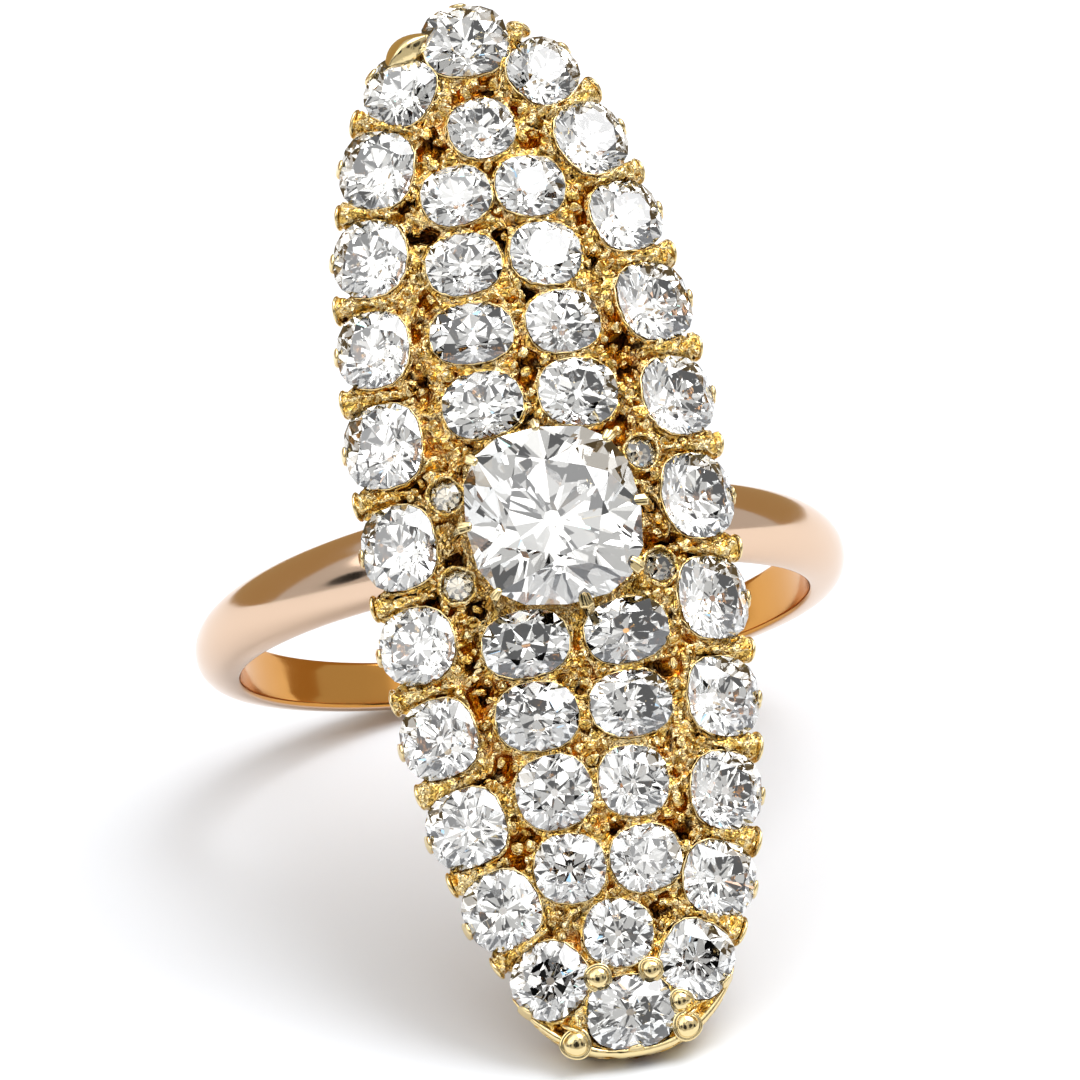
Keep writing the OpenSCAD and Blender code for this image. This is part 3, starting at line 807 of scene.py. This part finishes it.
class RING_OT_centre_claws(bpy.types.Operator):
    """Shapes the eight prongs that point in over the centre stone's edge, some thin and some broad"""
    bl_idname = "ring.centre_claws"
    bl_label = "Claws of the centre stone"

    def execute(self, context):
        bm = bmesh.new()
        for degrees, half, reach in CENTRE_CLAWS:
            a0 = math.radians(degrees)
            foot = CENTRE.edge(a0, out=0.30, up=-0.75)
            bend = CENTRE.edge(a0, out=0.14, up=-0.02)
            nose = CENTRE.edge(a0, out=-reach, up=0.13)
            side = unit(np.cross(CENTRE.up, bend - CENTRE.place))
            outward = np.cross(unit(nose - foot), side)

            def place(a, t):
                c = moved(foot, (bend - foot, smooth_step(0, 0.55, t)), (nose - bend, smooth_step(0.45, 1, t)))
                close = np.sqrt(np.clip(1 - np.square(np.clip((t - 0.62) / 0.39, 0, 1)), 0.01, 1))
                fingers = 1 - 0.22 * np.cos(6 * a) * smooth_step(0.2, 0.5, t)
                wide = half * (1.1 - 0.35 * t) * close
                thick = (0.15 - 0.05 * t) * close * fingers
                return moved(c, (side, np.cos(a) * wide), (outward, np.sin(a) * thick))

            tube(bm, 20, 26, place)
        piece("centre_claws", bm, burnished_yellow_gold())
        return {"FINISHED"}


# ---------- nuggets, rims, cups and beads ----------

NUGGET_ROOM = 0.17  # a nugget's middle is at least this far from a stone
NUGGET_SPACING = 1.05  # in sums of two nuggets' radii
NUGGET_MARGIN = np.array([0.4, 0.5])  # inside the head's outline


class RING_OT_nuggets(bpy.types.Operator):
    """Sets the small cut nuggets of gold in the wider gaps between the stones"""
    bl_idname = "ring.nuggets"
    bl_label = "Nuggets between the stones"

    def execute(self, context):
        size = context.scene.ring_head
        biggest = size.nugget / MM
        rng = np.random.default_rng(5)
        head = np.array([HEAD_HALF_W, HEAD_HALF_L])
        xy = rng.uniform(-1, 1, (size.nugget_count, 2)) * head
        inside = (np.abs(xy / (head - NUGGET_MARGIN)) ** HEAD_POWER).sum(1) < 1
        p = on_dome(*xy[inside].T)
        room = nearest_stones(p)[0]
        order = np.argsort(-room)
        order = order[room[order] > NUGGET_ROOM]
        taken = np.zeros((0, 4))
        for q, r in zip(p[order], np.minimum(biggest, room[order] * 1.1)):
            r *= rng.uniform(0.6, 1.0)
            gaps = np.linalg.norm(taken[:, :3] - q, axis=1) - NUGGET_SPACING * (r + taken[:, 3])
            if not (gaps < 0).any():
                taken = np.vstack([taken, [*q, r]])
        bm = bmesh.new()
        bmesh.ops.create_icosphere(bm, subdivisions=2, radius=1)
        shape = points_of(bm.verts)
        while len(bm.verts) < len(shape) * len(taken):
            bmesh.ops.duplicate(bm, geom=bm.verts[:] + bm.edges[:] + bm.faces[:])
        bmesh.ops.delete(bm, geom=bm.verts[:][len(shape) * len(taken):], context="VERTS")
        co = []
        for *q, r in taken:
            n = dome_normal(np.array(q))
            turn = np.array(Matrix.Rotation(rng.uniform(0, 6.28), 3, Vector(rng.normal(size=3)).normalized()))
            knocked = shape * rng.uniform(0.6, 1.35, 3) @ turn
            knocked *= 1 + 0.22 * rng.uniform(-1, 1, (len(shape), 1))
            co.append(q + n * rng.uniform(-0.12, 0.03) + knocked * r)
        put(bm.verts, np.concatenate(co))
        piece("nuggets", bm, graver_cut_gold(), smooth=False)
        return {"FINISHED"}


class RING_OT_rims(bpy.types.Operator):
    """Runs the thin burnished rim of metal that hugs each stone's edge"""
    bl_idname = "ring.rims"
    bl_label = "Rims round the stones"

    def execute(self, context):
        bm = bmesh.new()
        for s in INNER + RIM:
            outer = unit(s.place * (0.35, 0.12, 0)) if s in RIM else np.zeros(3)

            def place(a, t):
                mid = s.edge(a, out=0.03)
                out = unit(mid - s.place)
                # the rim sinks out of sight on the side towards the head's edge
                hidden = smooth_step(-0.1, 0.35, out @ outer)[:, None]
                mid = mid - (0.16 * out + 0.30 * s.up) * hidden
                r = 0.022 + 0.02 * waves(mid, 0.22, 2)
                up = -0.03 + 0.06 * waves(mid, 0.2, 7) + 0.09 * waves(mid, 0.6, 3)
                b = t * 2 * math.pi
                return moved(mid, (out, np.cos(b) * r), (s.up, np.sin(b) * r + up))

            tube(bm, 64, 8, place)
        piece("stone_rims", bm, burnished_yellow_gold())
        return {"FINISHED"}


CUP_GAP, CUP_DROP = 0.07, 0.14  # from the stone's edge to the middle of the cup's wall
CUP_HALF_W, CUP_HALF_H = 0.085, 0.22


class RING_OT_cups(bpy.types.Operator):
    """Shapes the round cups of the four smallest stones"""
    bl_idname = "ring.cups"
    bl_label = "Cups of the small stones"

    def execute(self, context):
        bm = bmesh.new()
        for s in SMALL:
            def place(a, t):
                b = t * 2 * math.pi
                out = s.way(a)
                mid = moved(s.place, (s.up, -CUP_DROP), (out, s.size + CUP_GAP))
                ripple = 0.045 * waves(mid, 0.25)
                return moved(mid, (out, np.cos(b) * CUP_HALF_W + ripple),
                             (s.up, np.sin(b) * CUP_HALF_H + ripple))

            tube(bm, 40, 12, place)
        piece("stone_cups", bm, graver_cut_gold())
        return {"FINISHED"}


TIP_BEADS = [  # place from the lowest stone across and along the head, and share of the beads' radius
    (-1.70, -0.66, 1.22), (1.56, -0.60, 1.18), (-0.80, 1.10, 1.12), (0.76, 1.12, 1.0), (1.50, 0.12, 1.0)]
BEAD_PROFILE = np.array([  # share of the way up, then reach and height in radii: a foot, a groove and a dome
    (0.0, 1.15, -1.2), (0.1, 1.22, 0.10), (0.2, 1.27, 0.30), (0.25, 1.22, 0.40), (0.3, 1.12, 0.44),
    (0.35, 1.02, 0.38), (0.4, 0.96, 0.32), (0.5, 0.93, 0.52), (0.6, 0.84, 0.72), (0.7, 0.68, 0.88),
    (0.8, 0.46, 0.99), (0.9, 0.24, 1.04), (1.0, 0.05, 1.05)]).T
BEAD_FLATNESS = 0.88


class RING_OT_beads(bpy.types.Operator):
    """Sets the five polished beads round the lowest stone, each in a thin turned rim"""
    bl_idname = "ring.beads"
    bl_label = "Polished beads"

    def execute(self, context):
        bm = bmesh.new()
        lowest = RIM[12]
        for dx, dy, size in TIP_BEADS:
            r = size * context.scene.ring_head.bead / MM
            base = on_dome(lowest.place[0] + dx, lowest.place[1] + dy)
            n = dome_normal(base)
            u = unit(np.cross([0.0, 1.0, 0.0], n))
            v = np.cross(n, u)

            def place(a, t):
                out = np.cos(a)[:, None] * u + np.sin(a)[:, None] * v
                reach = r * np.interp(t, *BEAD_PROFILE[:2]) * (1 + 0.04 * np.sin(3 * a + base[0]))
                high = r * np.interp(t, BEAD_PROFILE[0], BEAD_PROFILE[2])
                return moved(base, (out, reach), (n, BEAD_FLATNESS * high))

            tube(bm, 36, len(BEAD_PROFILE[0]) - 1, place)
        piece("tip_beads", bm, burnished_yellow_gold())
        return {"FINISHED"}


class RING_OT_stones(bpy.types.Operator):
    """Gives the cut stones their diamond, with every facet flat"""
    bl_idname = "ring.stones"
    bl_label = "Stones"

    def execute(self, context):
        look = context.scene.ring_finish
        clear = cut_diamond("diamond_old_cut", look.diamond_hex)
        smoky = cut_diamond("diamond_smoky", look.small_diamond_hex)
        for s in STONES:
            data = frame["nodes"][s.name].data
            data.materials.clear()
            data.materials.append(smoky if s in SMALL else clear)
            data.shade_flat()
        return {"FINISHED"}


# ---------- stage ----------

SURROUNDINGS = 0.63  # strength of the white all round
DIMMEST = 0.015  # strength that dark cards don't go below
CARDS = [  # azimuth, elevation and half angle in degrees of a bright or dark card, and its strength
    (10, 56, 9, 0.6), (-56, 44, 9, 0.5), (64, 42, 9, 0.5), (-28, 80, 8, 0.5),
    (-7.5, 24, 15, -0.64), (36, 24, 10, -0.64), (-42, 20, 10, -0.64), (32, 76, 7, -1.35),
    (-20, 48, 5.5, -0.64), (38, 52, 7, -0.64), (-76, 60, 9, -0.64), (78, 64, 9, -0.64),
    (-36, 62, 5.5, -0.64), (0, 63, 3.2, -1.3), (-50, 33, 5, -0.64), (14, 80, 5, -0.64),
    (17, 50, 2.8, -1.3), (58, 10, 9, -0.64), (-66, 8, 9, -0.64),
    (2, 38, 3, 1.2), (-30, 34, 3, 1.4), (52, 55, 3, 1.3), (22, 36, 2.5, 1.5), (-12, 68, 2.5, 1.5)]
TINTED_CARDS = [  # the same, with a colour
    (-14, 42, 2.2, (0.1, 0.6, 1.2)), (28, 62, 2.2, (0.0, 0.9, 0.8)), (48, 30, 2.2, (1.0, 0.4, 0.1))]
ROOM_BEHIND = (0.46, 0.32, 0.15, 1.0)
ROOM_HALF_ANGLE = 82
ROOM_TOP = 0.65  # upward part of the direction to the room's top
LAMPS = [  # name, azimuth and elevation in degrees, width in metres and watts, each a metre from the ring
    ("key", 86, 62, 0.8, 6.8), ("fill", 15, 82, 1.3, 2.8), ("side", -62, 48, 0.9, 2.2)]
FLOOR_HALF = 0.09
FLOOR_GAP = 0.00002  # keeps the floor from flickering through what rests on it


def toward(azimuth, elevation):
    """The unit vector to a place round the ring. Azimuth 0 is straight in front."""
    return Vector((
        math.sin(azimuth) * math.cos(elevation), -math.cos(azimuth) * math.cos(elevation), math.sin(elevation)))


def studio_world():
    """White surroundings in front and above, a dim brown room behind, and dark and bright cards, which
    the gold and the stones mirror."""
    world = bpy.data.worlds.new("studio")
    world.use_nodes = True
    tree = world.node_tree
    tree.nodes.clear()
    way = add_node(tree, "ShaderNodeTexCoord").outputs["Generated"]

    def calculate(operation, *values):
        return add_node(tree, "ShaderNodeMath", dict(enumerate(values)), operation=operation).outputs[0]

    def patch(azimuth, elevation, half):
        """1 inside a round card in the given direction, and 0 outside it."""
        middle = toward(math.radians(azimuth), math.radians(elevation))
        near = add_node(tree, "ShaderNodeVectorMath", {0: way, 1: middle}, operation="DOT_PRODUCT")
        return calculate("GREATER_THAN", near.outputs["Value"], math.cos(math.radians(half)))

    light = SURROUNDINGS
    for azimuth, elevation, half, strength in CARDS:
        light = calculate("MULTIPLY_ADD", patch(azimuth, elevation, half), strength, light)
    total = calculate("MAXIMUM", light, DIMMEST)
    for azimuth, elevation, half, tint in TINTED_CARDS:
        total = add_node(tree, "ShaderNodeVectorMath", {
            0: patch(azimuth, elevation, half), 1: tint, 2: total}, operation="MULTIPLY_ADD").outputs["Vector"]
    room = calculate("MULTIPLY", patch(180, 0, ROOM_HALF_ANGLE), calculate("GREATER_THAN", ROOM_TOP, add_node(
        tree, "ShaderNodeSeparateXYZ", {"Vector": way}).outputs["Z"]))
    total = result(add_node(tree, "ShaderNodeMix", {
        "Factor": room, "A": total, "B": ROOM_BEHIND}, data_type="RGBA"))
    # the picture's own background is plain white
    seen = add_node(tree, "ShaderNodeLightPath").outputs["Is Camera Ray"]
    colour = result(add_node(tree, "ShaderNodeMix", {
        "Factor": seen, "A": total, "B": (1.0, 1.0, 1.0, 1.0)}, data_type="RGBA"))
    surface = add_node(tree, "ShaderNodeBackground", {"Color": colour, "Strength": 1.0})
    add_node(tree, "ShaderNodeOutputWorld", {"Surface": surface.outputs["Background"]})
    bpy.context.scene.world = world


class RING_OT_stage(bpy.types.Operator):
    """Sets up the pale floor, the soft studio light and the camera at the photograph's angle"""
    bl_idname = "ring.stage"
    bl_label = "Stage"

    def execute(self, context):
        stage = context.scene.ring_stage
        context.scene.view_settings.view_transform = "Standard"
        bm = bmesh.new()
        bmesh.ops.create_grid(
            bm, x_segments=1, y_segments=1, size=FLOOR_HALF, matrix=Matrix.Translation((0, 0, -FLOOR_GAP)))
        add_mesh("floor", bm, studio_white())
        studio_world()

        back = toward(stage.camera_azimuth, stage.camera_elevation)
        level = Vector((math.cos(stage.camera_azimuth), math.sin(stage.camera_azimuth), 0))
        right = level * math.cos(stage.camera_roll) + back.cross(level) * math.sin(stage.camera_roll)
        turn = Matrix((right, back.cross(right), back)).transposed().to_4x4()
        camera = add_object("camera", bpy.data.cameras.new("camera"))
        camera.data.angle = stage.camera_view
        camera.data.clip_start = 0.01
        place = Vector(stage.camera_aim) + back * stage.camera_distance
        camera.matrix_world = Matrix.Translation(place) @ turn
        context.scene.camera = camera

        for name, azimuth, elevation, size, power in LAMPS:
            lamp = bpy.data.lights.new(name, "AREA")
            lamp.shape = "DISK"
            lamp.size = size
            lamp.energy = power
            d = toward(math.radians(azimuth), math.radians(elevation))
            add_object(name, lamp).matrix_world = (
                Matrix.Translation(d) @ d.to_track_quat("Z", "Y").to_matrix().to_4x4())
        return {"FINISHED"}


class RING_PT_panel(bpy.types.Panel):
    """Lists the steps that dress the ring"""
    bl_idname = "RING_PT_panel"
    bl_label = "Navette Cluster Ring"
    bl_space_type = "VIEW_3D"
    bl_region_type = "UI"
    bl_category = "Ring"

    def draw(self, context):
        for group in ("ring_band", "ring_head", "ring_finish", "ring_stage"):
            box = self.layout.box()
            settings = getattr(context.scene, group)
            for key in settings.bl_rna.properties.keys():
                if key not in ("rna_type", "name"):
                    box.prop(settings, key)
        for step in STEPS:
            self.layout.operator(step.bl_idname)


STEPS = (RING_OT_stage, RING_OT_band, RING_OT_plate, RING_OT_tip_lip, RING_OT_gap_claws, RING_OT_edge_claws,
         RING_OT_centre_claws, RING_OT_nuggets, RING_OT_rims, RING_OT_cups, RING_OT_beads, RING_OT_stones)
GROUPS = {"ring_band": RingBand, "ring_head": RingHead, "ring_finish": RingFinish, "ring_stage": RingStage}


def register():
    for cls in (*GROUPS.values(), *STEPS, RING_PT_panel):
        bpy.utils.register_class(cls)
    for name, cls in GROUPS.items():
        setattr(bpy.types.Scene, name, bpy.props.PointerProperty(type=cls))


def unregister():
    for name in GROUPS:
        delattr(bpy.types.Scene, name)
    for cls in (RING_PT_panel, *reversed(STEPS), *GROUPS.values()):
        bpy.utils.unregister_class(cls)


def main():
    register()
    for step in STEPS:
        group, name = step.bl_idname.split(".")
        getattr(getattr(bpy.ops, group), name)()


if __name__ == "__main__":
    main()
